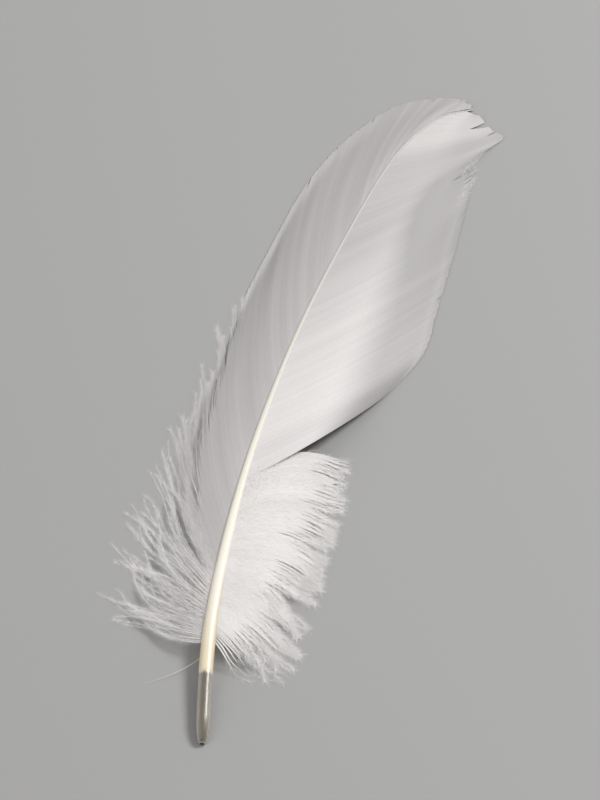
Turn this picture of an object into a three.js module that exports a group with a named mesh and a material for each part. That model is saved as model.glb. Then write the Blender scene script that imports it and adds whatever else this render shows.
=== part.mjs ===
// A goose quill feather, lying on a flat surface with its hollow side down.
//
// Millimetres, +Z up. The end of the quill and the tip of the shaft lie on a line along +Y,
// and -X is the feather's left. A place on the feather is given by two fractions: "root",
// how far up the shaft a barb grows, and "out", how far along that barb the place is.
// The origin is under the middle of the whole feather, on the surface it lies on.

import * as THREE from "three";

// ---- driving dimensions ----

const QUILL_RADIUS = 1.05;
const QUILL_END_RADIUS = 0.45;
const QUILL_END_LENGTH = 4;
const SHAFT_TIP_RADIUS = 0.22;
const SHAFT_TAPER = 3;
const SHAFT_ARCH = 4.6;
const SHAFT_SIDES = 10;
const SHAFT_STEPS = 64;

const BARE_QUILL = 0.126;
const LEFT_DOWN_TOP = 0.21;
const RIGHT_DOWN_TOP = 0.334;
const RIGHT_WEB_START = 0.353;
const LEFT_PARTING = 0.004;

const WEB_THICKNESS = 0.55;
const DOWN_THICKNESS = 1.1;
const TIP_THINNING = 0.55;
const SEAM = 0.3;

const SHORTEST_LOCK = 0.35;
const COLUMNS_PER_LOCK = 6;
const ROWS_ALONG_BARBS = 6;
const ROW_CROWDING = 1.5;

// ---- the shaft's line, seen from above ----

const shaftLine = new THREE.SplineCurve([
  new THREE.Vector2(0, 0),
  new THREE.Vector2(-5.6, 18),
  new THREE.Vector2(-9.3, 40),
  new THREE.Vector2(-10.7, 64),
  new THREE.Vector2(-10.1, 86),
  new THREE.Vector2(-8.6, 102),
  new THREE.Vector2(-5.2, 111),
  new THREE.Vector2(-0.8, 114.9),
]);
const SHAFT_LENGTH = shaftLine.getLength();

// The quill keeps its width up to the first barbs, and from there the shaft tapers to its tip.
// Its lower end is rounded off like an ellipse.
function shaftRadius(root) {
  const fromEnd = Math.min(1, (root * SHAFT_LENGTH) / QUILL_END_LENGTH);
  const rounding = Math.sqrt(1 - (1 - fromEnd) ** 2);
  const quill = THREE.MathUtils.lerp(QUILL_END_RADIUS, QUILL_RADIUS, rounding);
  const grown = Math.max(0, (root - BARE_QUILL) / (1 - BARE_QUILL));
  return SHAFT_TIP_RADIUS + (quill - SHAFT_TIP_RADIUS) * (1 - grown) ** SHAFT_TAPER;
}

// Height of the shaft's middle: both ends lie on the surface, and it arches between them.
function shaftHeight(root) {
  return shaftRadius(root) + SHAFT_ARCH * Math.sin(Math.PI * root) ** 1.2;
}

// ---- the four stretches of barbs ----

// side: -1 left, +1 right. start, end: the stretch of shaft that the barbs grow on.
// edge: the line of their tips, from the lowest barb to the highest.
// bow: how far a barb bends towards the feather's tip, as a share of its length, at the
// stretch's two ends.
// droop: how far the barbs come down; over 1 they lie flat before their tips.
// curve: the power of the way out by which they come down; the higher, the later.
// locks: how many points the edge parts into. notch: how deep they part low on the stretch.
// closing: how fast the notches grow shallow towards the feather's tip.
// sweep: how much further up the edge the tips reach than their roots do up the shaft.

function line(...points) {
  return new THREE.SplineCurve(points.map(([x, y]) => new THREE.Vector2(x, y)));
}

const stretches = {
  left_vane: {
    side: -1, start: LEFT_DOWN_TOP + LEFT_PARTING, end: 0.995,
    edge: line(
      [-22.4, 46.5], [-21.8, 58], [-20.9, 80], [-19.2, 96.4], [-13.5, 109.6], [-6.9, 114.9], [-1.4, 116.4],
    ),
    bow: [-0.1, -0.08], droop: 1.18, curve: 1.5, sweep: 0.8,
    thickness: WEB_THICKNESS, locks: 20, notch: 0.4, closing: 4,
  },
  right_vane: {
    side: 1, start: RIGHT_WEB_START, end: 0.985,
    edge: line(
      [5.2, 65.5], [7.1, 72.3], [6.3, 80.6], [5.2, 91], [3.8, 101.4], [3.3, 107.6], [5.2, 111.8],
      [3.1, 112.6], [0.6, 114.2],
    ),
    bow: [-0.085, -0.1], droop: 1.16, curve: 2.2, sweep: 0.8,
    thickness: WEB_THICKNESS, locks: 9, notch: 0.02, closing: 0,
  },
  left_down: {
    side: -1, start: BARE_QUILL, end: LEFT_DOWN_TOP - LEFT_PARTING,
    edge: line([-20.6, 16.6], [-23.2, 21], [-24.2, 29], [-23.7, 43.2]),
    bow: [-0.2, -0.07], droop: 1.3, curve: 1.7, sweep: 0,
    thickness: DOWN_THICKNESS, locks: 11, notch: 0.6, closing: 0.2,
  },
  right_down: {
    side: 1, start: BARE_QUILL, end: RIGHT_DOWN_TOP,
    edge: line([2.5, 8.6], [7.6, 12.5], [8.4, 20], [7.2, 31], [6.2, 42], [4, 51]),
    bow: [0.05, 0.33], droop: 1.3, curve: 1.7, sweep: 0,
    thickness: DOWN_THICKNESS, locks: 9, notch: 0.5, closing: 1.6,
  },
};

// A barb seen from above: it leaves the shaft's side and curves to its tip on the edge.
function barbLine(stretch, root) {
  const place = (root - stretch.start) / (stretch.end - stretch.start);
  const along = shaftLine.getTangentAt(root);
  const sideways = new THREE.Vector2(along.y, -along.x).multiplyScalar(stretch.side);
  const start = shaftLine.getPointAt(root);
  start.addScaledVector(sideways, shaftRadius(root) + SEAM);
  const tip = stretch.edge.getPointAt(place + stretch.sweep * place * (1 - place));
  const run = tip.clone().sub(start);
  const tipwards = new THREE.Vector2(-run.y, run.x).multiplyScalar(stretch.side);
  const bow = THREE.MathUtils.lerp(...stretch.bow, place);
  const middle = start.clone().add(tip).multiplyScalar(0.5).addScaledVector(tipwards, bow);
  return new THREE.QuadraticBezierCurve(start, middle, tip);
}

// How far along its barbs the stretch reaches: the full way in the middle of a long lock, less
// in a short one, and least in the notch between two. The golden ratio spreads the lengths.
function reach(stretch, place) {
  const lock = Math.min(Math.floor(place * stretch.locks), stretch.locks - 1);
  const fromMiddle = Math.abs(2 * (place * stretch.locks - lock) - 1);
  const shortness = SHORTEST_LOCK * ((lock * 0.618) % 1);
  const notch = stretch.notch * (1 - place) ** stretch.closing;
  return 1 - notch * Math.max(shortness, fromMiddle ** 1.4);
}

// ---- geometry ----

// A rod of one round cross-section, carried along the shaft's line.
function shaftGeometry() {
  const geometry = new THREE.CylinderGeometry(1, 1, 1, SHAFT_SIDES, SHAFT_STEPS);
  const positions = geometry.attributes.position;
  for (let i = 0; i < positions.count; i += 1) {
    const root = 0.5 + positions.getY(i);
    const centre = shaftLine.getPointAt(root);
    const along = shaftLine.getTangentAt(root);
    const radius = shaftRadius(root);
    const across = positions.getX(i) * radius;
    const up = positions.getZ(i) * radius;
    positions.setXYZ(i, centre.x + along.y * across, centre.y - along.x * across, shaftHeight(root) + up);
  }
  return geometry;
}

// A thin sheet that follows its barbs: level with the shaft at the root, curving down
// outwards, and flat on the surface along its edge, where the rows of faces are narrowest.
function stretchGeometry(stretch) {
  const columns = stretch.locks * COLUMNS_PER_LOCK;
  const geometry = new THREE.BoxGeometry(1, 1, 1, columns, ROWS_ALONG_BARBS, 1);
  const positions = geometry.attributes.position;
  for (let i = 0; i < positions.count; i += 1) {
    const place = 0.5 - stretch.side * positions.getX(i);
    const root = THREE.MathUtils.lerp(stretch.start, stretch.end, place);
    const row = 1 - (0.5 - positions.getY(i)) ** ROW_CROWDING;
    const out = row * reach(stretch, place);
    const plan = barbLine(stretch, root).getPoint(out);
    const thickness = stretch.thickness * (1 - TIP_THINNING * out);
    const middle = shaftHeight(root) * (1 - stretch.droop * out ** stretch.curve);
    const bottom = Math.max(0, middle - thickness / 2);
    const up = positions.getZ(i) > 0 ? thickness : 0;
    positions.setXYZ(i, plan.x, plan.y, bottom + up);
  }
  return geometry;
}

// ---- the feather ----

function named(name, geometry, colour, roughness) {
  geometry.deleteAttribute("uv");
  geometry.computeVertexNormals();
  const material = new THREE.MeshStandardMaterial({ color: colour, roughness, metalness: 0 });
  const mesh = new THREE.Mesh(geometry, material);
  mesh.name = name;
  return mesh;
}

const feather = new THREE.Group();
feather.add(named("shaft", shaftGeometry(), "#e8dcc2", 0.35));
feather.add(named("left_vane", stretchGeometry(stretches.left_vane), "#eeedea", 0.6));
feather.add(named("right_vane", stretchGeometry(stretches.right_vane), "#f2f1ee", 0.6));
feather.add(named("left_down", stretchGeometry(stretches.left_down), "#f4f2ef", 0.9));
feather.add(named("right_down", stretchGeometry(stretches.right_down), "#f6f4f1", 0.9));

const whole = new THREE.Box3().setFromObject(feather);
const centre = whole.getCenter(new THREE.Vector3());
feather.position.set(-centre.x, -centre.y, -whole.min.z);

export default feather;
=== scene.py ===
import bpy
import numpy as np
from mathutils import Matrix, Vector


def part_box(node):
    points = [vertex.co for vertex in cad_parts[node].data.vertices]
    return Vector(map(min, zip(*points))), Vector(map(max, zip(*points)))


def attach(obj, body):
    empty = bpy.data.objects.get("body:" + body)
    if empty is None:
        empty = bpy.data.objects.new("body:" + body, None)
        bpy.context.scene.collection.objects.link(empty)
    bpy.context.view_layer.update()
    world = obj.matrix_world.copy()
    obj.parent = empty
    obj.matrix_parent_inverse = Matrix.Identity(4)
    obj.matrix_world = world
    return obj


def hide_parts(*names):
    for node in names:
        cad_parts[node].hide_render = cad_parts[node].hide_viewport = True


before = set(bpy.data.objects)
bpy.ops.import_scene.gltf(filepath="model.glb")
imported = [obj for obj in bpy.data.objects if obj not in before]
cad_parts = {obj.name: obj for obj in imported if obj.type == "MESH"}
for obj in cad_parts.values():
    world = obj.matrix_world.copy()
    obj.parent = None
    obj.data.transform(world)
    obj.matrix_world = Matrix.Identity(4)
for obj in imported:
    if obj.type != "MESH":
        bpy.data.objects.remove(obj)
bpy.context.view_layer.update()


# ---------------------------------------------------------------------------------------
# The camera, on a stand beside the table: it looks down on the feather at a slant, from
# beyond the end of the quill and a little to the right.
# ---------------------------------------------------------------------------------------
CAMERA_AZIMUTH = np.radians(20.9)
CAMERA_ELEVATION = np.radians(60.0)
CAMERA_DISTANCE = 0.9
CAMERA_TARGET = Vector((0.0008, -0.0005, 0.001))
CAMERA_LENS = 275.0
CAMERA_CLIP_START = 0.01

camera_data = bpy.data.cameras.new("camera")
camera_data.lens = CAMERA_LENS
camera_data.clip_start = CAMERA_CLIP_START
camera = bpy.data.objects.new("camera", camera_data)
bpy.context.collection.objects.link(camera)
towards_camera = Vector((
    np.sin(CAMERA_AZIMUTH) * np.cos(CAMERA_ELEVATION),
    -np.cos(CAMERA_AZIMUTH) * np.cos(CAMERA_ELEVATION),
    np.sin(CAMERA_ELEVATION),
))
camera.location = CAMERA_TARGET + towards_camera * CAMERA_DISTANCE
camera.rotation_mode = "QUATERNION"
camera.rotation_quaternion = towards_camera.to_track_quat("Z", "Y")
bpy.context.scene.camera = camera


# ---------------------------------------------------------------------------------------
# The shaft: a bare, hollow quill of half-clear horn, which fills with white pith where the
# first barbs grow and tapers on to the feather's tip. It grew in one piece, arches over
# the table, and carries every barb on its sides.
# ---------------------------------------------------------------------------------------

# Lengths are in millimetres from here on, and a place up the shaft, its root, is a share of
# the shaft's length.
MM = 0.001
SHAFT_POINTS = [
    (0, 0), (-5.6, 18), (-9.3, 40), (-10.7, 64), (-10.1, 86), (-8.6, 102), (-5.2, 111), (-0.8, 114.9),
]
QUILL_RADIUS = 1.05
QUILL_END_RADIUS = 0.45
QUILL_END_LENGTH = 4.0
SHAFT_TIP_RADIUS = 0.22
SHAFT_TAPER = 3.0
SHAFT_ARCH = 4.6
SHAFT_ARCH_POWER = 1.2
BARE_QUILL = 0.126
TINY = 1e-12


def unit(vectors):
    """Each vector divided by its own length."""
    return vectors / np.maximum(np.linalg.norm(vectors, axis=-1, keepdims=True), TINY)


def line_through(points, cuts=400):
    """A smooth line in the plane through the points, as two functions of the fraction of its
    length, the place and the direction, and its length. Between two points a and b it is
    the Catmull-Rom cubic, which leaves a and reaches b along half the chord between their
    neighbours. Past its ends the line runs on straight."""
    points = np.array(points, float)
    doubled = np.concatenate([points[:1], points, points[-1:]])
    t = np.linspace(0, 1, cuts, endpoint=False)[:, None]
    before, a, b, after = (doubled[i:len(doubled) - 3 + i, None] for i in range(4))
    cubic = 0.5 * (2 * a + (b - before) * t + (2 * before - 5 * a + 4 * b - after) * t ** 2
                   + (3 * a - before - 3 * b + after) * t ** 3)
    dense = np.concatenate([cubic.reshape(-1, 2), points[-1:]])
    steps = np.linalg.norm(np.diff(dense, axis=0), axis=1)
    run = np.concatenate([[0], np.cumsum(steps)])
    heading = unit(np.gradient(dense, axis=0))

    def direction(fraction):
        s = np.clip(fraction, 0, 1) * run[-1]
        return unit(np.stack([np.interp(s, run, heading[:, 0]), np.interp(s, run, heading[:, 1])], -1))

    def place(fraction):
        s = np.asarray(fraction) * run[-1]
        held = np.clip(s, 0, run[-1])
        on_line = np.stack([np.interp(held, run, dense[:, 0]), np.interp(held, run, dense[:, 1])], -1)
        return on_line + direction(fraction) * (s - held)[..., None]

    return place, direction, run[-1]


shaft_place, shaft_direction, SHAFT_LENGTH = line_through(SHAFT_POINTS)


def shaft_radius(root):
    """Radius up the shaft: an ellipse over the quill's end, level along the bare quill, then
    falling to the tip with the third power of what is left of the length."""
    from_end = np.clip(root * SHAFT_LENGTH / QUILL_END_LENGTH, 0, 1)
    quill = QUILL_END_RADIUS + (QUILL_RADIUS - QUILL_END_RADIUS) * np.sqrt(1 - (1 - from_end) ** 2)
    grown = np.clip((root - BARE_QUILL) / (1 - BARE_QUILL), 0, 1)
    return SHAFT_TIP_RADIUS + (quill - SHAFT_TIP_RADIUS) * (1 - grown) ** SHAFT_TAPER


def shaft_height(root):
    """Height of the shaft's middle: its own radius at both ends, and between them an arch, a
    power of the sine of half a turn."""
    return shaft_radius(root) + SHAFT_ARCH * np.sin(np.pi * np.clip(root, 0, 1)) ** SHAFT_ARCH_POWER


def shaft_sideways(root):
    """The level direction to the shaft's right, at right angles to its line."""
    direction = shaft_direction(root)
    return np.stack([direction[..., 1], -direction[..., 0]], -1)


# The frame's origin is under the middle of the whole feather, and the points above start at
# the quill's end. The shift between the two brings the shaft to the middle of its own box.
roots = np.linspace(0, 1, 801)
flanks = shaft_sideways(roots) * shaft_radius(roots)[:, None]
outline = np.concatenate([shaft_place(roots) + flanks, shaft_place(roots) - flanks])
box_low, box_high = (np.array(corner[:2]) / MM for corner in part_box("shaft"))
SHIFT = np.append((box_low + box_high - outline.min(0) - outline.max(0)) / 2, 0.0)


SHARP_ANGLE = np.radians(35)


def solid(name, parts, finish, node):
    """One mesh object, closed, from parts of (points, triangles, marks), placed in the frame;
    every mark becomes a value on the points, for the finish to read. Faces that meet at a
    sharp angle keep their edge, and the rest is shaded smooth."""
    starts = np.cumsum([0] + [len(points) for points, _, _ in parts])
    points = np.concatenate([points for points, _, _ in parts])
    triangles = np.concatenate([t + start for (_, t, _), start in zip(parts, starts)])
    mesh = bpy.data.meshes.new(name)
    mesh.vertices.add(len(points))
    mesh.vertices.foreach_set("co", ((points + SHIFT) * MM).astype(np.float32).ravel())
    mesh.loops.add(triangles.size)
    mesh.loops.foreach_set("vertex_index", triangles.astype(np.int32).ravel())
    mesh.polygons.add(len(triangles))
    mesh.polygons.foreach_set("loop_start", np.arange(0, triangles.size, 3, dtype=np.int32))
    mesh.update(calc_edges=True)
    mesh.shade_smooth()
    mesh.set_sharp_from_angle(angle=SHARP_ANGLE)
    for mark in parts[0][2]:
        values = np.concatenate([marks[mark] for _, _, marks in parts])
        mesh.attributes.new(mark, "FLOAT", "POINT").data.foreach_set("value", values.astype(np.float32))
    mesh.materials.append(finish)
    piece = bpy.data.objects.new(name, mesh)
    bpy.context.collection.objects.link(piece)
    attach(piece, "root")
    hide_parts(node)


def tubes(rings, closed=False, **marks):
    """Tubes from an array (tubes, rings, sides, 3): two triangles for each cell between
    neighbouring rings. Rings run clockwise when seen from the tube's start. A fan of
    triangles covers each end, or, where closed, the last ring joins the first. Each mark is
    an array (tubes, rings) or (tubes, rings, sides)."""
    count, length, sides, _ = rings.shape
    index = np.arange(count * length * sides).reshape(count, length, sides)
    if closed:
        index = np.concatenate([index, index[:, :1]], axis=1)
    a, c = index[:, :-1], index[:, 1:]
    b, d = np.roll(a, -1, axis=2), np.roll(c, -1, axis=2)
    triangles = [np.stack([a, b, d], -1).reshape(-1, 3), np.stack([a, d, c], -1).reshape(-1, 3)]
    if not closed:
        first, last = index[:, 0], index[:, -1]
        fan = range(1, sides - 1)
        triangles += [np.stack([first[:, 0], first[:, k + 1], first[:, k]], -1) for k in fan]
        triangles += [np.stack([last[:, 0], last[:, k], last[:, k + 1]], -1) for k in fan]
    spread = {}
    for mark, value in marks.items():
        value = value if value.ndim == 3 else value[..., None]
        spread[mark] = np.broadcast_to(value, rings.shape[:3]).ravel()
    return rings.reshape(-1, 3), np.concatenate(triangles), spread


def operator(operation, reflected=False):
    """A Python operator that adds a Math node. Reflected, the value comes second."""
    def method(self, other):
        first, second = (other, self) if reflected else (self, other)
        return self.finish.node("ShaderNodeMath", {"operation": operation}, {0: first, 1: second})
    return method


class Value:
    """A number that a material works out at each point. The operators + - * on it, with
    numbers or other values on either side, add Math nodes."""

    def __init__(self, finish, socket):
        self.finish, self.socket = finish, socket

    __add__ = operator("ADD")
    __radd__ = operator("ADD", reflected=True)
    __sub__ = operator("SUBTRACT")
    __rsub__ = operator("SUBTRACT", reflected=True)
    __mul__ = operator("MULTIPLY")
    __rmul__ = operator("MULTIPLY", reflected=True)


class Finish:
    """A material with one Principled shader, and one method that adds any other node."""

    def __init__(self, name, constants):
        self.material = bpy.data.materials.new(name)
        self.material.use_nodes = True
        self.nodes = self.material.node_tree.nodes
        self.links = self.material.node_tree.links
        self.shader = self.nodes["Principled BSDF"]
        for socket, value in constants.items():
            self.shader.inputs[socket].default_value = value

    def node(self, kind, settings=None, inputs=None, output=0):
        """Adds a node, changes its settings, fills or links its sockets, gives one output."""
        node = self.nodes.new(kind)
        for setting, value in (settings or {}).items():
            setattr(node, setting, value)
        for socket, value in (inputs or {}).items():
            self.feed(node, socket, value)
        return Value(self, node.outputs[output])

    def feed(self, node, socket, value):
        """Links a worked-out value to a node's socket, or writes a plain one into it."""
        if isinstance(value, Value):
            self.links.new(value.socket, node.inputs[socket])
        else:
            node.inputs[socket].default_value = value

    def mark(self, name):
        """The value that a mesh holds on its points under this name."""
        return self.node("ShaderNodeAttribute", {"attribute_name": name}, output="Fac")

    def step(self, value, low, high):
        """A smooth step of a value: 0 up to low, 1 from high on."""
        settings = {"interpolation_type": "SMOOTHSTEP"}
        inputs = {"Value": value, "From Min": low, "From Max": high}
        return self.node("ShaderNodeMapRange", settings, inputs)

    def mix(self, factor, first, second):
        """A colour that goes from the first to the second as the factor goes from 0 to 1."""
        settings = {"data_type": "RGBA"}
        return self.node("ShaderNodeMix", settings, {0: factor, 6: first, 7: second}, output=2)

    def noise(self, place, scale, detail):
        """Noise from 0 to 1 at a place, which is a vector."""
        return self.node("ShaderNodeTexNoise", {}, {"Vector": place, "Scale": scale, "Detail": detail})

    def object_place(self):
        """The point's own place in space."""
        return self.node("ShaderNodeTexCoord", output="Object")

    def vector(self, x, y, z):
        """A vector of three values."""
        return self.node("ShaderNodeCombineXYZ", {}, {"X": x, "Y": y, "Z": z})

    def bump(self, height, distance):
        """Sends a height to the shader's Normal through a Bump node."""
        raised = self.node("ShaderNodeBump", {}, {"Height": height, "Distance": distance})
        self.feed(self.shader, "Normal", raised)


SHAFT_RINGS = 420
SHAFT_SIDES = 28
BARBED_RUN = 0.12
GROOVE_DEPTH = 0.28
GROOVE_WIDTH = 0.45
TOP_FLATNESS = 0.12
STREAK_LENGTH = 14.0
STREAK_SCALE = 7.0
STREAK_DETAIL = 4.0
FIBRE_DEPTH = 0.00003


def horn_streaks(finish):
    """Fine fibres along the shaft: noise around its girth that changes slowly along it."""
    girth_x, girth_y = finish.mark("girth_x"), finish.mark("girth_y")
    along = finish.mark("root") * STREAK_LENGTH
    return finish.noise(finish.vector(girth_x, girth_y, along), STREAK_SCALE, STREAK_DETAIL)


def shaft_rings(root, angle, radius):
    """The shaft's skin: a circle square to the shaft's line at each root. Where the barbs
    grow, its top is lowered by the sine squared, and a bell-shaped groove runs below."""
    barbed = np.clip((root - BARE_QUILL) / BARBED_RUN, 0, 1)
    groove = GROOVE_DEPTH * barbed * np.exp(-((angle - 1.5 * np.pi) / GROOVE_WIDTH) ** 2)
    flat_top = TOP_FLATNESS * barbed * np.clip(np.sin(angle), 0, 1) ** 2
    across = shaft_sideways(root) * (np.cos(angle) * radius)[..., None]
    up = (np.sin(angle) * (1 - flat_top) + groove) * radius
    return np.concatenate([shaft_place(root) + across, (shaft_height(root) + up)[..., None]], -1)


def shaft_skin(root, radius, closed=False):
    """A tube along the shaft, through the given roots at the given radii, with the marks that
    its finish reads: the root and the place around the girth."""
    around = np.linspace(0, 2 * np.pi, SHAFT_SIDES, endpoint=False)
    root, angle = np.meshgrid(root, around, indexing="ij")
    rings = shaft_rings(root, angle, radius[:, None])
    marks = {"root": root, "girth_x": np.cos(angle), "girth_y": np.sin(angle)}
    return tubes(rings[None], closed, **{name: value[None] for name, value in marks.items()})


# The pith begins inside the top of the hollow quill, as a rounded end, and fills the shaft's
# whole girth from the wall's end on. It is glossy and creamy low down, darkened towards tan on
# its right flank by painted shade, and turns ivory and then grey as the shaft grows thin.
PITH_START = 0.078
PITH_FULL = 0.088
PITH_ROUNDING = 0.7
THIN_TIP_START = 0.9
WALL_END = 0.092
WALL_TAPER = 0.008
WALL_THICKNESS = 0.13
PITH_CREAM = (0.83, 0.73, 0.52, 1)
# The tan below is painted shade for the shaft's right flank, not the pith's own colour.
TAN_PAINTED_SHADE = (0.58, 0.45, 0.26, 1)
SHAFT_IVORY = (0.90, 0.85, 0.74, 1)
SHAFT_GREY = (0.52, 0.515, 0.505, 1)

# The roots between which each of these changes of the finish takes place, and the part of
# the girth that is its right flank.
GREYING = (0.22, 0.8)
CREAM_FADES = (0.10, 0.2)
PAINTED_SHADE_FADES = (0.13, 0.3)
GLOSS_FADES = (0.1, 0.3)
RIGHT_FLANK = (0.75, 1.15)

pith = Finish("pith", {
    "IOR": 1.54, "Coat Roughness": 0.2, "Subsurface Weight": 0.2,
    "Subsurface Radius": (0.0008, 0.0006, 0.0004), "Subsurface Scale": 1.0,
})
root, streaks = pith.mark("root"), horn_streaks(pith)
colour = pith.mix(pith.step(root, *GREYING), SHAFT_IVORY, SHAFT_GREY)
creamy = (1 - pith.step(root, *CREAM_FADES)) * (0.7 + 0.3 * streaks)
colour = pith.mix(creamy, colour, PITH_CREAM)
# Painted shade: low on the shaft, the right flank is darkened towards tan.
right_flank = pith.step(pith.mark("girth_x") + 0.3 * streaks, *RIGHT_FLANK)
painted_flank_shade = right_flank * (1 - pith.step(root, *PAINTED_SHADE_FADES)) * 0.7
pith.feed(pith.shader, "Base Color", pith.mix(painted_flank_shade, colour, TAN_PAINTED_SHADE))
glossy = 1 - pith.step(root, *GLOSS_FADES)
pith.feed(pith.shader, "Roughness", 0.5 - 0.24 * glossy + 0.2 * streaks)
pith.feed(pith.shader, "Coat Weight", 0.03 + 0.22 * glossy)
pith.bump(streaks, FIBRE_DEPTH)

pith_roots = PITH_START + (1 - PITH_START) * np.linspace(0, 1, SHAFT_RINGS) ** 1.1
inside_wall = np.clip((WALL_END - pith_roots) / WALL_TAPER, 0, 1)
pith_radii = shaft_radius(pith_roots) - WALL_THICKNESS * inside_wall
pith_radii *= np.clip((pith_roots - PITH_START) / (PITH_FULL - PITH_START), 0.01, 1) ** PITH_ROUNDING
pith_radii *= 1 - 0.5 * np.clip((pith_roots - THIN_TIP_START) / (1 - THIN_TIP_START), 0, 1) ** 2
solid("shaft_pith", [shaft_skin(pith_roots, pith_radii)], pith.material, "shaft")

# The quill's wall is half-clear horn. Its upper end thins out over the pith, just under the
# shaft's own skin, and takes the pith's colour there.
WALL_RINGS = 90
WALL_SINKS = 0.02
WALL_EDGE = 0.1
PITH_CLEARANCE = 0.01
OVER_PITH = (0.088, 0.093)
HORN_FIBRE_DEPTH = 0.00004
WALL_CREAM = (0.95, 0.88, 0.70, 1)
HORN_CLEAR = (0.37, 0.325, 0.25, 1)
HORN_GREY = (0.19, 0.155, 0.105, 1)

horn = Finish("horn", {
    "IOR": 1.54, "Transmission Weight": 0.5, "Coat Weight": 0.2, "Coat Roughness": 0.12,
})
root, streaks = horn.mark("root"), horn_streaks(horn)
colour = horn.mix(streaks * 0.8, HORN_CLEAR, HORN_GREY)
over_pith = horn.step(root + streaks * 0.008, *OVER_PITH)
horn.feed(horn.shader, "Base Color", horn.mix(over_pith, colour, WALL_CREAM))
horn.feed(horn.shader, "Roughness", 0.22 + 0.2 * streaks)
horn.bump(streaks, HORN_FIBRE_DEPTH)

up_wall = WALL_END * np.linspace(0, 1, WALL_RINGS) ** 1.3
thinning = np.clip((WALL_END - up_wall) / WALL_TAPER, 0, 1)
outer_radii = shaft_radius(up_wall) - WALL_SINKS * (1 - thinning)
thickness = (WALL_THICKNESS - PITH_CLEARANCE) * (WALL_EDGE + (1 - WALL_EDGE) * thinning)
inner_radii = outer_radii - thickness
wall_roots = np.concatenate([up_wall, up_wall[::-1]])
wall_radii = np.concatenate([outer_radii, inner_radii[::-1]])
solid("quill_wall", [shaft_skin(wall_roots, wall_radii, closed=True)], horn.material, "shaft")

# Inside the hollow quill stand the thin dried caps that its core left behind as it grew.
CAP_ROOTS = [0.018, 0.031, 0.043, 0.054, 0.066]
CAP_DOME = 0.006
CAP_THICKNESS = 0.0006
CAP_GAP = 0.02
CAP_HOLE = 0.004
CAP_BEIGE = (0.72, 0.68, 0.58, 1)
membrane = Finish("membrane", {"Base Color": CAP_BEIGE, "Roughness": 0.6, "IOR": 1.5})
caps = []
for cap_root in CAP_ROOTS:
    from_middle = np.linspace(0, 1, 8)
    sheet = cap_root + CAP_DOME * (1 - from_middle ** 2)
    wide = (shaft_radius(np.array(cap_root)) - WALL_THICKNESS - CAP_GAP) * from_middle
    cap_radii = np.concatenate([wide, wide[::-1]]) + CAP_HOLE
    caps.append(shaft_skin(np.concatenate([sheet - CAP_THICKNESS, sheet[::-1]]), cap_radii))
solid("quill_caps", caps, membrane.material, "shaft")


# ---------------------------------------------------------------------------------------
# The left vane: the narrow side of the feather's web. Some two hundred and forty flat barbs
# grow out of the shaft and hook together into one smooth sheet; low down, their ends have
# come unhooked and stand out as a loose downy fringe.
# ---------------------------------------------------------------------------------------

# The lowest height of a barb's middle, and how softly the barbs settle to it.
LOWEST = 0.10
SETTLING = 0.2
# Shares of the shaft's radius: how far out the barbs start, and how far they rise there.
SHAFT_HOLD = 0.8
ROOT_RISE = 0.1


def blend(pair, place):
    """A value that goes evenly from the first of a pair to the second as place goes 0 to 1."""
    return pair[0] + (pair[1] - pair[0]) * place


def smooth_step(value, low, high):
    """0 up to low, 1 from high on, and a smooth S between them."""
    t = np.clip((value - low) / (high - low), 0, 1)
    return t * t * (3 - 2 * t)


def hump(value, middle, width):
    """A bell around the middle: 1 there, about a third one width away."""
    return np.exp(-((value - middle) / width) ** 2)


def ripples(*sines):
    """Soft waves in a sheet, as a function of the place and the way out: a sum of sines, each
    given by its height and by its turn, in radians, with each of the two. They grow with the
    way out."""
    def rise(place, out):
        return sum(height * np.sin(up * place + outwards * out) for height, up, outwards in sines) * out
    return rise


def bezier(start, bend, tip, t):
    """The quadratic Bezier curve from start to tip, drawn towards bend."""
    return (1 - t) ** 2 * start + 2 * t * (1 - t) * bend + t ** 2 * tip


def barb_sheet(stretch, root, out):
    """The sheet that a stretch of barbs lies in, as a function of the root on the shaft and
    the share of the way out along the barb. Seen from above a barb is a quadratic Bezier
    curve from the shaft's side to its tip on the edge line, bowed by a share of its length.
    Its height falls from the shaft's by a power of the way out, and settles on the table
    along a hyperbola."""
    held = stretch["side"] * SHAFT_HOLD * shaft_radius(root)
    start = shaft_place(root) + shaft_sideways(root) * held[..., None]
    place = (root - stretch["start"]) / (stretch["end"] - stretch["start"])
    tip = stretch["edge"](place + stretch["sweep"] * place * (1 - place))
    run = tip - start
    tipwards = np.stack([-run[..., 1], run[..., 0]], -1) * stretch["side"]
    bend = (start + tip) / 2 + tipwards * blend(stretch["bow"], np.clip(place, 0, 1))[..., None]
    plan = bezier(start, bend, tip, out[..., None])
    fall = 1 - stretch["droop"] * np.clip(out, 0, 2) ** stretch["curve"]
    height = shaft_height(root) * fall + ROOT_RISE * shaft_radius(root) * (1 - out) ** 4
    height = height + stretch["ripple"](place, out)
    settled = LOWEST + 0.5 * (height - LOWEST + np.sqrt((height - LOWEST) ** 2 + SETTLING))
    return np.concatenate([plan, settled[..., None]], -1)


# Shares of the even spacing: how far a barb's root and a lock's limits stray from it, and the
# widest gap that the barbs' wings try to span.
ROOT_STRAYS = 0.12
LOCK_STRAYS = 0.48
WIDEST_PITCH = 1.25


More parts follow.
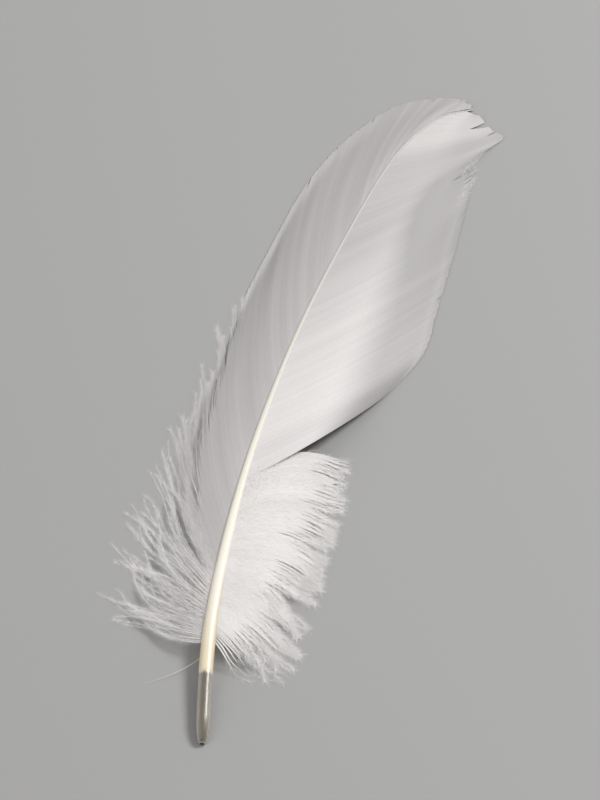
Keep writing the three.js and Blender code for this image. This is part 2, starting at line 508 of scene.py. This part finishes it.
def barb_places(stretch, rng):
    """Where each barb grows along its stretch, the pitch there, the number of its lock and
    the middle of that lock. Places are evenly spaced, a little unsettled, and raised to the
    power of the stretch's spread, which sets the lowest barbs wider apart when under 1."""
    count, locks = stretch["barbs"], stretch["locks"]
    number = np.arange(count) + 0.5
    place = ((number + rng.uniform(-ROOT_STRAYS, ROOT_STRAYS, count)) / count) ** stretch["spread"]
    pitch = np.minimum(np.gradient((number / count) ** stretch["spread"]), WIDEST_PITCH / count)
    strays = rng.uniform(-LOCK_STRAYS, LOCK_STRAYS, locks - 1)
    partings = (np.arange(1, locks) + strays) / locks
    lock = np.searchsorted(partings, place)
    limits = np.concatenate([[0], partings, [1]])
    core = (limits[lock] + limits[lock + 1]) / 2
    return place[:, None], pitch[:, None], lock, core[:, None]


def shared_and_own(stretch, lock, rng, own):
    """A random number for each barb: one that its whole lock shares, and a share of its own."""
    shared = rng.normal(0, 1, (stretch["locks"], 1))[lock]
    return shared + own * rng.normal(0, 1, (stretch["barbs"], 1))


# How tightly the loosest and the tightest lock gather, and by which power of the way out. In
# a lock, and beside a split, the barbs lie closer together by these shares. A split's push
# falls off with the distance in this many widths, and grows outwards with this power.
TIGHTNESS = (0.3, 1.2)
GATHERING_POWER = 1.5
CLOSER_IN_LOCK = 0.7
CLOSER_BESIDE_SPLIT = 0.4
SPLIT_WIDTHS = 1.2
SPLIT_POWER = 1.4


def barbs_on_sheet(stretch, rng):
    """The barbs as rows of places on their sheet, closer together towards the tips. Loose
    barbs gather into locks: each leans over to the middle of its lock as it runs out. At the
    stretch's splits the barbs on both sides turn apart, most at the edge and next to the
    split. Beside the places come the ways across and up, and the gap to the next barb."""
    place, pitch, lock, core = barb_places(stretch, rng)
    shortened = rng.uniform(0, 1, place.shape) ** 2 * stretch["uneven"](place)
    length = stretch["reach"](place) - shortened
    out = (1 - (1 - np.linspace(0, 1, stretch["rings"])) ** stretch["crowding"]) * length
    ragged = stretch["ragged"] * shared_and_own(stretch, lock, rng, own=0.6)
    loose = stretch["loose"](place, out + ragged * out)
    tightness = rng.uniform(*TIGHTNESS, (stretch["locks"], 1))[lock]
    gathered = stretch["gather"] * tightness * loose * out ** GATHERING_POWER
    turned = place + (core - place) * gathered
    closeness = 1 - CLOSER_IN_LOCK * gathered
    for at, depth, width in stretch["splits"]:
        outwards = np.clip((out - 1 + depth) / depth, 0, 1) ** SPLIT_POWER
        push = np.exp(-np.abs(place - at) / (SPLIT_WIDTHS * width)) * outwards
        turned = turned + 0.5 * width * np.sign(place - at) * push
        closeness = closeness * (1 - CLOSER_BESIDE_SPLIT * push)
    span = stretch["end"] - stretch["start"]
    root = stretch["start"] + span * turned
    here = barb_sheet(stretch, root, out)
    along = unit(np.gradient(here, axis=1))
    over = barb_sheet(stretch, root + span * pitch, out) - here
    ahead = (over * along).sum(-1)
    across = over - along * ahead[..., None]
    gap = np.linalg.norm(across, axis=-1) * closeness
    across = unit(across)
    up = np.cross(along, across) * -stretch["side"]
    return {"place": place, "lock": lock, "out": out, "loose": loose, "root": root, "here": here,
            "across": across, "up": up, "gap": gap, "slant": ahead[:, -1:]}


# The slowest and the fastest wave, in turns from root to tip.
LOCK_PACES = (0.5, 1.1)
BARB_PACES = (0.8, 2.0)


def waves(number, paces, pick, out, rng):
    """A sideways and an upwards wave for each of a number of barbs or locks, handed to the
    barbs that pick names: sines of the way out at a random pace, and a lean, all of which
    grow with the way out."""
    turn = rng.uniform(0, 2 * np.pi, (2, number, 1))[:, pick]
    pace = rng.uniform(*paces, (number, 1))[pick]
    lean = rng.normal(0, 0.5, (number, 1))[pick]
    sideways = (np.sin(turn[0] + 2 * np.pi * pace * out) * 0.5 + lean * out) * out
    return sideways, np.abs(np.sin(turn[1] + np.pi * pace * out)) * out


def turned_level(vectors, angle):
    """The vectors turned by an angle about the upright axis."""
    x, y, z = vectors[..., 0], vectors[..., 1], vectors[..., 2]
    turned_x = x * np.cos(angle) - y * np.sin(angle)
    return np.stack([turned_x, x * np.sin(angle) + y * np.cos(angle), z], -1)


def waved_and_curled(stretch, rows, rng):
    """The barbs' places and their ways across once the loose ends have waved, with their lock
    and a little on their own, and curled: each step along a barb is turned about the upright
    axis, further and further out, and the steps are added up again."""
    here, across, up = rows["here"], rows["across"], rows["up"]
    out, loose, lock = rows["out"], rows["loose"], rows["lock"]
    lock_side, lock_up = waves(stretch["locks"], LOCK_PACES, lock, out, rng)
    own_side, own_up = waves(len(out), BARB_PACES, np.arange(len(out)), out, rng)
    sideways = (lock_side + stretch["stray"] * own_side) * loose * stretch["sway"]
    upwards = (lock_up + 0.6 * own_up) * loose * stretch["lift"]
    here = here + across * sideways[..., None]
    here = here + up * upwards[..., None]
    curl = stretch["curl"](rows["place"]) * shared_and_own(stretch, lock, rng, own=0.5)
    turn = curl * loose * smooth_step(out, 0.2, 1.1)
    steps = turned_level(np.diff(here, axis=1), turn[:, 1:])
    here = np.concatenate([here[:, :1], here[:, :1] + np.cumsum(steps, axis=1)], axis=1)
    here[..., 2] = np.maximum(here[..., 2], LOWEST)
    return here, turned_level(across, turn)


BARBS_IN_STREAK = 6


def barbs(stretch, rng):
    """Every barb of a stretch as a row of places, with three directions at each: along the
    barb, across it towards the feather's tip, and up off the sheet. Beside them stand the
    length that is left to the tip and the marks that the finish reads. The tint is partly
    each barb's own and partly a streak that changes every few barbs."""
    rows = barbs_on_sheet(stretch, rng)
    here, across = waved_and_curled(stretch, rows, rng)
    along = unit(np.gradient(here, axis=1))
    across = unit(across - (across * along).sum(-1, keepdims=True) * along)
    up = np.cross(along, across) * -stretch["side"]
    count = stretch["barbs"]
    steps = np.linalg.norm(np.diff(here, axis=1), axis=-1)
    to_tip = np.cumsum(steps[:, ::-1], axis=1)[:, ::-1]
    rest = np.concatenate([to_tip, np.zeros((count, 1))], axis=1)
    streaks = count // BARBS_IN_STREAK
    streak = np.interp(rows["place"], np.linspace(0, 1, streaks), rng.uniform(0, 1, streaks))
    all_along = rows["out"] * 0
    tint = 0.35 * rng.uniform(0, 1, (count, 1)) + 0.65 * streak + all_along
    # How much painted grey shade each place on the barb takes, where the web is thin.
    thin = stretch["thin"](rows["place"], rows["out"]) + all_along
    rows.update(here=here, along=along, across=across, up=up, rest=rest, tint=tint, thin=thin)
    return rows


# A barb's wings reach out by shares of the gap to the next barb: towards the quill, towards
# the feather's tip, and where the neighbour on that side has ended.
WING_BELOW = 0.56
WING_ABOVE = 0.70
WING_ALONE = 1.02
# In millimetres: the shortest run in which a wing narrows to the tip, the run in which the
# stem thins out, the step between two wings that overlap, and the gap above the table.
SHORTEST_SLANT = 0.25
TAPER_LENGTH = 1.8
TILE_STEP = 0.006
TABLE_GAP = 0.02


def blades(rows, side, stem_width=0.06, stem_height=0.024):
    """The barbs' own bodies: a ring of six points at each place, a low ridge in the middle
    for the stem and a thin wing on either side. Hooked together, the wings reach a little
    past the middle of the gap and overlap like tiles. Where the next barb has ended, the
    wing on its side fills the gap and narrows evenly to the tip, which leaves one smooth
    edge. Loose, the wings shrink to the stem."""
    out, gap, rest = rows["out"], rows["gap"], rows["rest"]
    slant = np.maximum(np.abs(rows["slant"]), SHORTEST_SLANT)
    taper = np.clip(rest / TAPER_LENGTH, 0.1, 1) ** 0.6
    stem = stem_width * (1 - 0.6 * out) * (1 - 0.35 * rows["loose"]) * taper / 2
    hooked = 1 - rows["loose"]
    ending = np.clip(rest / slant, 0, 1)
    alone = 1 - np.clip((rest - slant) / (2 * slant), 0, 1)

    def wing(share, neighbour_ended):
        """How far a wing reaches from the stem's middle."""
        reach = gap * blend((share, WING_ALONE), alone * neighbour_ended) * ending
        return stem * 1.5 + hooked * np.maximum(reach - stem, 0)

    lower, upper = wing(WING_BELOW, rows["slant"] > 0), wing(WING_ABOVE, rows["slant"] < 0)
    high = stem_height * (1 - 0.5 * out) * taper
    level = out * 0
    ring = [
        (-lower, level + TILE_STEP), (-stem, 0.3 * high + 0.004), (level, high),
        (stem, 0.3 * high + 0.002), (upper, level - TILE_STEP), (level, -0.7 * high - TILE_STEP),
    ]
    if side > 0:
        ring = ring[::-1]
    here, across, up = rows["here"], rows["across"], rows["up"]
    rings = np.stack([here + across * a[..., None] + up * h[..., None] for a, h in ring], 2)
    rings[..., 2] = np.maximum(rings[..., 2], TABLE_GAP)
    marks = {name: rows[name] for name in ("root", "out", "tint", "thin")}
    return tubes(rings, down=rows["loose"], **marks)


# Barbules lean and rise by these middle angles, give or take a spread, in degrees.
BARBULE_LEAN, LEAN_SPREAD = 33, 10
BARBULE_RISE, RISE_SPREAD = 5, 28
BARBULE_HEIGHT = 0.45
FEWEST_BARBULES = 1e-6


def barbules(rows, count, weight, length, rng, thickness):
    """Downy barbules: long flattened spikes, each a closed body of four faces. Each starts
    at a random place on a barb, more of them where the weight is high, and leans forward
    and to one side. Its length is a function of the way out, in millimetres."""
    chance = (weight * np.ones_like(rows["out"]))[:, :-1] * (rows["rest"][:, :-1] - rows["rest"][:, 1:])
    picked = rng.choice(chance.size, count, p=(chance / chance.sum()).ravel())
    barb, ring = np.unravel_index(picked, chance.shape)
    part = rng.uniform(0, 1, (count, 1))

    def between(name):
        """A value of the rows at each barbule's start, between two places on its barb."""
        value = rows[name].reshape(*rows["out"].shape, -1)
        return value[barb, ring] * (1 - part) + value[barb, ring + 1] * part

    start, along, across, up = (between(name) for name in ("here", "along", "across", "up"))
    out = between("out")[:, 0]
    lean_to = rng.choice([-1.0, 1.0], (count, 1))
    turn = lean_to * np.radians(rng.normal(BARBULE_LEAN, LEAN_SPREAD, (count, 1)))
    rise = np.radians(rng.normal(BARBULE_RISE, RISE_SPREAD, (count, 1)))
    way = unit(along * np.cos(turn) + across * np.sin(turn) * np.cos(rise) + up * np.sin(rise))
    size = length(out)[:, None] * rng.uniform(0.5, 1.3, (count, 1))
    wide = unit(np.cross(up + 0.01 * along, way)) * thickness
    high = np.cross(way, wide) * BARBULE_HEIGHT
    points = np.stack([start + wide, start + high, start - wide, start + way * size], 1)
    points[..., 2] = np.maximum(points[..., 2], TABLE_GAP)
    faces = np.array([(0, 2, 1), (0, 1, 3), (1, 2, 3), (2, 0, 3)])
    triangles = (np.arange(count)[:, None, None] * 4 + faces).reshape(-1, 3)
    marks = {name: between(name)[:, 0] for name in ("root", "out", "tint", "thin")}
    marks["down"] = np.ones(count)
    return points.reshape(-1, 3), triangles, {name: np.repeat(value, 4) for name, value in marks.items()}


BARB_WHITE = (0.82, 0.797, 0.786, 1)
BARB_SHADE = (0.64, 0.62, 0.614, 1)
# The grey that thin parts of the web are mixed towards is painted shade, not the barbs' own colour.
PAINTED_SHADE_GREY = (0.365, 0.352, 0.35, 1)
DOWN_WHITE = (0.97, 0.948, 0.942, 1)
PATCH_SCALE = 120.0
GRAIN_SCALE = 5200.0
GRAIN_DEPTH = 0.00003


def barb_finish(name, roughness, whitening):
    """Dry keratin barbs: white with a faint tone that varies from barb to barb and in soft
    patches, with a painted grey shade where the vane is thin, and whiter where the barbs are downy."""
    finish = Finish(name, {"Sheen Weight": 0.12, "Sheen Roughness": 0.4, "IOR": 1.45})
    tint, down, thin = finish.mark("tint"), finish.mark("down"), finish.mark("thin")
    patches = finish.noise(finish.object_place(), PATCH_SCALE, 3.0)
    fine = finish.noise(finish.object_place(), GRAIN_SCALE, 2.0)
    colour = finish.mix(tint * 0.65 + patches * 0.35, BARB_WHITE, BARB_SHADE)
    # Painted shade: thin parts of the web are mixed towards grey.
    colour = finish.mix(thin * (0.9 + 0.2 * tint), colour, PAINTED_SHADE_GREY)
    colour = finish.mix(down * whitening, colour, DOWN_WHITE)
    finish.feed(finish.shader, "Base Color", colour)
    finish.feed(finish.shader, "Roughness", roughness + 0.12 * fine)
    finish.bump(fine, GRAIN_DEPTH)
    return finish.material


def left_vane_loose(place, out):
    """How far the left vane's barbs are unhooked: not at all where the web is whole, and
    wholly 0.38 of a barb's length past it. The web is whole near the shaft at the lowest
    barb, and out to the tips from about a quarter of the way up."""
    whole = np.minimum(0.32 + 2.4 * place, 0.05 + 6 * place)
    return smooth_step(out - whole - 5 * np.maximum(place - 0.19, 0), 0, 0.38)


def left_vane_thin(place, out):
    """How thin the left vane is, and so how much painted grey shade it takes: more and more from
    a fifth of the way up to two thirds, and a little less again near the feather's tip."""
    return 0.58 + 0.28 * smooth_step(place, 0.2, 0.7) - 0.15 * smooth_step(place, 0.85, 1)


# What a stretch of barbs is given. The place is the way up the stretch, from 0 to 1.
# - side: -1 left of the shaft, 1 right of it
# - start, end: the roots between which the barbs grow
# - edge, sweep: the line of the barbs' tips, and how far the tips run ahead along it
# - bow: how far a barb bends, as a share of its length, at the stretch's two ends
# - droop, curve, ripple: how far a barb comes down, by which power of the way out, and waves
# - barbs, spread: their number, and the power of the place that spaces them
# - rings, crowding: the places on one barb, and how they draw together towards its tip
# - reach, uneven: how far out the barbs grow, and by how much some are shorter
# - loose, ragged: how far the barbs are unhooked, and how much that differs between them
# - splits: partings in the web, each with its place, its depth from the edge and its width
# - locks, gather: how many locks the loose barbs form, and how tightly
# - sway, lift, stray: waves to the side and upwards, and the share that each barb has alone
# - curl: how far loose barbs turn as they run out, in radians
# - thin: how thin the web is, and so how much painted grey shade it takes
left_vane = {
    "side": -1, "start": 0.2115, "end": 0.997, "bow": (-0.1, -0.08), "droop": 1.18, "curve": 1.5,
    "edge": line_through([
        (-22.4, 46.5), (-21.8, 58), (-20.9, 80), (-19.2, 96.4), (-13.5, 109.6), (-6.9, 114.9),
        (-1.4, 116.4),
    ])[0],
    "sweep": 0.8,
    "ripple": ripples((0.10, 19, 5), (0.05, 47, -4)),
    "barbs": 240, "spread": 1.0, "rings": 32, "crowding": 1.7,
    "reach": lambda place: 1 - 0.4 * smooth_step(place, 0.94, 1),
    "uneven": lambda place: 0.012 + 0.28 * smooth_step(0.24 - place, 0, 0.24),
    "loose": left_vane_loose, "ragged": 0.07,
    "splits": [(0.42, 0.08, 0.012), (0.61, 0.06, 0.01), (0.8, 0.08, 0.014), (0.93, 0.16, 0.02)],
    "locks": 66, "gather": 0.5, "sway": 1.0, "stray": 1.1, "lift": 0.8, "curl": lambda place: 0.13,
    "thin": left_vane_thin,
}
BORDER_WIDTH = 0.03
vane_finish = barb_finish("vane", roughness=0.5, whitening=0.65)
rng = np.random.default_rng(11)
rows = barbs(left_vane, rng)
solid("left_vane_barbs", [blades(rows, left_vane["side"])], vane_finish, "left_vane")
lowest_barbs = 0.5 * np.clip(1 - (rows["root"] - left_vane["start"]) / BORDER_WIDTH, 0, 1)
fullness = rows["loose"] + lowest_barbs + FEWEST_BARBULES
fringe = barbules(rows, 36000, fullness, lambda out: 2.1 - 1.1 * out, rng, thickness=0.0055)
solid("left_vane_fringe", [fringe], vane_finish, "left_vane")


# ---------------------------------------------------------------------------------------
# The right vane: the broad side of the web, from an open split low on the shaft up to the
# feather's tip. Its barbs are longer and hooked together to the edge, which droops; near
# the tip a few have come apart in pointed tufts.
# ---------------------------------------------------------------------------------------
def right_vane_thin(place, out):
    """How thin the right vane is, and so how much painted grey shade it takes: more towards its
    tip up to three quarters of the way, less from there on, and more in its outer half, above
    all low down."""
    outer = 0.7 * smooth_step(out, 0.34, 0.7) * (1 - 0.7 * smooth_step(place, 0.5, 0.75))
    return outer + 0.16 + 0.5 * smooth_step(place, 0.15, 0.6) - 0.3 * smooth_step(place, 0.72, 0.88)


right_vane = {
    "side": 1, "start": 0.35, "end": 0.99, "bow": (-0.085, -0.1), "droop": 1.16, "curve": 2.2,
    "edge": line_through([
        (5.2, 65.5), (7.1, 72.3), (6.3, 80.6), (5.2, 91), (3.8, 101.4), (3.3, 107.6), (5.2, 111.8),
        (3.1, 112.6), (0.6, 114.2),
    ])[0],
    "sweep": 0.8,
    "ripple": ripples((0.12, 14, 6), (0.06, 37, -3)),
    "barbs": 215, "spread": 1.0, "rings": 34, "crowding": 1.7,
    "reach": lambda place: 1,
    "uneven": lambda place: 0.012 + 0.1 * hump(place, 0.58, 0.07),
    "loose": lambda place, out: smooth_step(out, 0.84, 1.0) * hump(place, 0.58, 0.06), "ragged": 0.05,
    "splits": [(0.2, 0.05, 0.01), (0.42, 0.05, 0.012), (0.81, 0.12, 0.02), (0.885, 0.3, 0.05)],
    "locks": 44, "gather": 0.7, "sway": 0.5, "stray": 0.5, "lift": 0.4, "curl": lambda place: 0.1,
    "thin": right_vane_thin,
}
rng = np.random.default_rng(12)
rows = barbs(right_vane, rng)
solid("right_vane_barbs", [blades(rows, right_vane["side"])], vane_finish, "right_vane")
fullness = rows["loose"] + FEWEST_BARBULES
tufts = barbules(rows, 2500, fullness, lambda out: 1.1 - 0.4 * out, rng, thickness=0.008)
solid("right_vane_fringe", [tufts], vane_finish, "right_vane")


# ---------------------------------------------------------------------------------------
# The left down: loose downy barbs just above the bare quill. They have no hooks, so they
# wave in wisps with open gaps, thick with soft barbules, and lie out over the table.
# ---------------------------------------------------------------------------------------
left_down = {
    "side": -1, "start": BARE_QUILL, "end": 0.225, "bow": (-0.2, -0.07), "droop": 1.3, "curve": 1.7,
    "edge": line_through([(-20.6, 16.6), (-23.2, 21), (-24.2, 29), (-23.7, 43.2), (-22.9, 46.4)])[0],
    "sweep": 0.0,
    "ripple": ripples(),
    "barbs": 66, "spread": 1.0, "rings": 34, "crowding": 1.0,
    "reach": lambda place: 0.93 + 0.03 * place,
    "uneven": lambda place: 0.5,
    "loose": lambda place, out: 0.8 + 0.2 * smooth_step(out, 0.0, 0.2), "ragged": 0.1,
    "splits": [],
    "locks": 16, "gather": 0.85, "sway": 1.5, "stray": 1.2, "lift": 1.4,
    "curl": lambda place: 0.42 - 0.34 * smooth_step(place, 0.72, 1),
    "thin": lambda place, out: 0.2 * smooth_step(out, 0.4, 1.0),
}
HAIR_START, HAIR_BEND, HAIR_TIP = (-4.7, 13.6, 1.2), (-5.7, 10.4, 0.9), (-11.2, 6.3, 0.12)
HAIR_RADIUS = 0.05
HAIR_THINNING = 0.8


def stray_hair(rings=26, sides=5):
    """One long downy barb that curls back beside the quill: a tapering round thread along a
    quadratic Bezier curve."""
    t = np.linspace(0, 1, rings)[:, None]
    line = bezier(*(np.array(point) for point in (HAIR_START, HAIR_BEND, HAIR_TIP)), t)
    along = unit(np.gradient(line, axis=0))
    across = unit(np.cross(along, (0, 0, 1)))
    up = np.cross(across, along)
    turns = np.linspace(0, 2 * np.pi, sides, endpoint=False)[None, :, None]
    girth = across[:, None] * np.cos(turns) + up[:, None] * np.sin(turns)
    skin = line[:, None] + girth * (HAIR_RADIUS * (1 - HAIR_THINNING * t[:, None]))
    none = np.zeros((1, rings))
    return tubes(skin[None], root=none, out=none, tint=none, down=none + 1, thin=none)


down_finish = barb_finish("down", roughness=0.75, whitening=0.8)
rng = np.random.default_rng(13)
rows = barbs(left_down, rng)
wisps = blades(rows, left_down["side"], stem_width=0.052, stem_height=0.045)
solid("left_down_barbs", [wisps, stray_hair()], down_finish, "left_down")
fullness = (0.3 + rows["out"]) * (1 - 0.7 * smooth_step(rows["out"], 0.6, 1.0))
fluff = barbules(rows, 30000, fullness, lambda out: 1.7 - 1.0 * out, rng, thickness=0.0062)
solid("left_down_barbules", [fluff], down_finish, "left_down")


# ---------------------------------------------------------------------------------------
# The right down: the lower lobe of the broad side, below the split. Near the shaft its
# barbs still hold together as a soft web; outwards and down to the quill they are loose.
# ---------------------------------------------------------------------------------------
def right_down_ripple(place, out):
    """A soft wave, and a swell halfway out on the highest barbs, which fills the split."""
    return ripples((0.15, 11, 5))(place, out) + 2.0 * hump(place, 1, 0.2) * out * (1 - out)


FLUFF_SETS_IN = (0.135, 0.19)
right_down = {
    "side": 1, "start": BARE_QUILL, "end": 0.349, "bow": (0.05, 0.33), "droop": 1.3, "curve": 1.7,
    "edge": line_through([(2.5, 8.6), (7.6, 12.5), (8.4, 20), (7.2, 31), (6.2, 42), (4, 51)])[0],
    "sweep": 0.0,
    "ripple": right_down_ripple,
    "barbs": 150, "spread": 0.7, "rings": 34, "crowding": 1.2,
    "reach": lambda place: 0.96 + 0.14 * (1 - smooth_step(place, 0, 0.15)),
    "uneven": lambda place: 0.56 - 0.42 * smooth_step(place, 0.1, 0.6),
    "loose": lambda place, out: smooth_step(out - 0.7 * place, 0.05, 0.55), "ragged": 0.14,
    "splits": [(0.06, 0.6, 0.02), (0.3, 0.5, 0.03)],
    "locks": 22, "gather": 0.6, "sway": 1.0, "stray": 0.9, "lift": 1.1,
    "curl": lambda place: 0.95 - 0.7 * smooth_step(place, 0.0, 0.25) - 0.12 * smooth_step(place, 0.5, 1),
    "thin": lambda place, out: 0.25 * smooth_step(out, 0.4, 1.0),
}
rng = np.random.default_rng(14)
rows = barbs(right_down, rng)
wisps = blades(rows, right_down["side"], stem_width=0.06, stem_height=0.04)
solid("right_down_barbs", [wisps], down_finish, "right_down")
fullness = (0.1 + rows["loose"] + 1.5 * rows["loose"] * (1 - rows["loose"])) * (1 - 0.35 * rows["out"])
fullness = fullness * (0.06 + 0.94 * smooth_step(rows["root"], *FLUFF_SETS_IN))
fluff = barbules(rows, 49000, fullness, lambda out: 2.1 - 0.9 * out, rng, thickness=0.01)
solid("right_down_barbules", [fluff], down_finish, "right_down")


# ---------------------------------------------------------------------------------------
# The table top and the lights: a plain pale surface, one soft light that comes low from
# behind the feather's tip, a weaker one from the front, and pale light from all round.
# ---------------------------------------------------------------------------------------
FLOOR_GREY = (0.36, 0.358, 0.355, 1)
FLOOR_HALF_SIDE = 2.0
WORLD_WHITE = (0.97, 0.965, 0.955, 1)
WORLD_STRENGTH = 0.42

floor_finish = Finish("floor", {"Base Color": FLOOR_GREY, "Roughness": 0.7})
floor_mesh = bpy.data.meshes.new("floor")
corners = ((-1, -1), (1, -1), (1, 1), (-1, 1))
floor_points = [(x * FLOOR_HALF_SIDE, y * FLOOR_HALF_SIDE, 0) for x, y in corners]
floor_mesh.from_pydata(floor_points, [], [(0, 1, 2, 3)])
floor_mesh.materials.append(floor_finish.material)
floor = bpy.data.objects.new("floor", floor_mesh)
bpy.context.collection.objects.link(floor)


def soft_light(name, place, size, power):
    """A square soft light that faces the middle of the feather."""
    data = bpy.data.lights.new(name, "AREA")
    data.size, data.energy = size, power
    light = bpy.data.objects.new(name, data)
    light.location = place
    light.rotation_mode = "QUATERNION"
    light.rotation_quaternion = Vector(place).to_track_quat("Z", "Y")
    bpy.context.collection.objects.link(light)


soft_light("key", place=(0.40, 0.40, 0.62), size=0.25, power=5.6)
soft_light("fill", place=(-0.5, -0.5, 0.6), size=0.8, power=2.0)
world = bpy.data.worlds.new("studio")
world.use_nodes = True
background = world.node_tree.nodes["Background"]
background.inputs["Color"].default_value = WORLD_WHITE
background.inputs["Strength"].default_value = WORLD_STRENGTH
bpy.context.scene.world = world
bpy.context.scene.view_settings.view_transform = "Standard"
